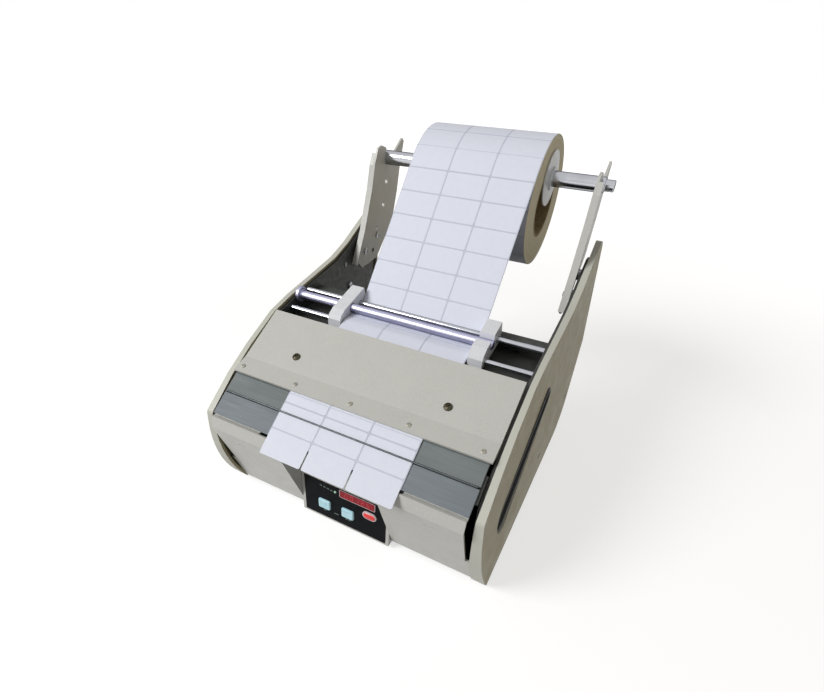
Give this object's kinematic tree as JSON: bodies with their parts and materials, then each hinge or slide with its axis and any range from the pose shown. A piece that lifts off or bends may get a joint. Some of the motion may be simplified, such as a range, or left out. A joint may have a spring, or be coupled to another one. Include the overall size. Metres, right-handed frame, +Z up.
{
  "type": "label dispenser",
  "caption": "Desk label dispenser with a label roll on an overhead shaft, web guides, sloping peel plates and a push-button panel between curved side covers.",
  "frame": {"origin": "on the surface the machine stands on, under the middle of its overall box", "axes": "+X to the right seen from the front, +Y to the rear, +Z up"},
  "size_m": [0.226, 0.3068, 0.2571],
  "materials": {
    "beige_paint": "satin",
    "beige_plastic": "matt",
    "dark_steel": "matt",
    "grey_plate": "satin",
    "grey_plate_front": "satin",
    "chrome": "polished",
    "steel": "satin",
    "bar_aluminium": "satin",
    "label_paper": "matt",
    "roll_paper": "matt",
    "liner_paper": "matt",
    "cardboard": "matt",
    "white_plastic": "satin",
    "black_plastic": "matt",
    "overlay_black": "gloss",
    "display_red": "gloss",
    "button_blue": "satin",
    "button_red": "satin",
    "lamp_green": "gloss",
    "rubber": "matt",
    "board_green": "satin",
    "bronze": "satin",
    "motor_can": "satin"
  },
  "bodies": {
    "root": {"base_plate": "dark_steel", "left_frame": "dark_steel", "right_frame": "dark_steel", "rear_wall": "dark_steel", "web_tray": "dark_steel", "left_front_sheet": "beige_paint", "right_front_sheet": "beige_paint", "panel_housing": "beige_paint", "panel_overlay": "overlay_black", "display_window": "display_red", "status_light": "lamp_green", "circuit_board": "board_green", "stage_plate": "grey_plate", "peel_plate": "grey_plate_front", "plate_beam": "dark_steel", "hold_wire": "steel", "label_sensor": "black_plastic", "top_cover": "beige_paint", "lip_screws": "steel", "cover_screws": "steel", "left_side_cover": "beige_plastic", "right_side_cover": "beige_plastic", "left_grip_cup": "black_plastic", "right_grip_cup": "black_plastic", "side_screws": "steel", "front_rod": "chrome", "rear_rod": "chrome", "hold_down_bar": "bar_aluminium", "left_arm": "beige_paint", "right_arm": "beige_paint", "arm_spacers": "steel", "frame_screws": "steel", "feed_web": "label_paper", "stage_web": "label_paper", "front_labels": "label_paper", "liner_return": "liner_paper", "axle_bearings": "bronze", "pinch_springs": "steel", "motor": "motor_can", "motor_bracket": "dark_steel", "drive_belt": "rubber", "power_inlet": "black_plastic", "switch_body": "black_plastic", "feet": "rubber"},
    "roll": {"label_roll": "roll_paper", "roll_core": "cardboard"},
    "shaft": {"roll_shaft": "chrome", "roll_flanges": "white_plastic"},
    "left_guide": {"left_guide": "white_plastic"},
    "right_guide": {"right_guide": "white_plastic"},
    "left_button": {"left_button": "button_blue"},
    "right_button": {"right_button": "button_blue"},
    "red_button": {"red_button": "button_red"},
    "drive": {"drive_roller": "rubber", "drive_axle": "steel", "drive_wheel": "black_plastic"},
    "pinch_carriage": {"pinch_blocks": "white_plastic"},
    "pinch": {"pinch_roller": "rubber"},
    "motor_rotor": {"motor_wheel": "black_plastic"},
    "rocker": {"power_switch": "black_plastic"}
  },
  "joints": [
    {"name": "roll_spin", "type": "hinge", "parent": "root", "child": "roll", "pos_m": [0.00315, 0.103, 0.2067], "axis": [1, 0, 0], "continuous": true},
    {"name": "shaft_spin", "type": "hinge", "parent": "root", "child": "shaft", "pos_m": [0, 0.103, 0.2254], "axis": [1, 0, 0], "continuous": true},
    {"name": "drive_spin", "type": "hinge", "parent": "root", "child": "drive", "pos_m": [0, -0.095, 0.071], "axis": [1, 0, 0], "continuous": true},
    {"name": "pinch_lift", "type": "slide", "parent": "root", "child": "pinch_carriage", "axis": [0, 0, -1], "range_m": [0, 0.0015], "stiffness_N_per_m": 2000, "springref_m": -0.004, "deforming": ["pinch_springs"]},
    {"name": "pinch_spin", "type": "hinge", "parent": "pinch_carriage", "child": "pinch", "pos_m": [0, -0.095, 0.0502], "axis": [1, 0, 0], "continuous": true},
    {"name": "motor_spin", "type": "hinge", "parent": "root", "child": "motor_rotor", "pos_m": [0.06, -0.061, 0.061], "axis": [1, 0, 0], "continuous": true},
    {"name": "left_guide_slide", "type": "slide", "parent": "root", "child": "left_guide", "axis": [-1, 0, 0], "range_m": [0, 0.036]},
    {"name": "right_guide_slide", "type": "slide", "parent": "root", "child": "right_guide", "axis": [1, 0, 0], "range_m": [0, 0.033]},
    {"name": "left_button_press", "type": "slide", "parent": "root", "child": "left_button", "axis": [0, 1, 0], "range_m": [0, 0.0012], "stiffness_N_per_m": 600, "springref_m": -0.0015},
    {"name": "right_button_press", "type": "slide", "parent": "root", "child": "right_button", "axis": [0, 1, 0], "range_m": [0, 0.0012], "stiffness_N_per_m": 600, "springref_m": -0.0015},
    {"name": "red_button_press", "type": "slide", "parent": "root", "child": "red_button", "axis": [0, 1, 0], "range_m": [0, 0.0012], "stiffness_N_per_m": 600, "springref_m": -0.0015},
    {"name": "power_rocker", "type": "hinge", "parent": "root", "child": "rocker", "pos_m": [0.024, -0.00344, 0.037], "axis": [0, 0, 1], "range_deg": [-20, 0]}
  ],
  "couplings": [
    {"joint": "shaft_spin", "follows": "roll_spin", "ratio": 4.1667},
    {"joint": "drive_spin", "follows": "roll_spin", "ratio": 4.2},
    {"joint": "pinch_spin", "follows": "roll_spin", "ratio": -6.3},
    {"joint": "motor_spin", "follows": "roll_spin", "ratio": 9.8}
  ]
}
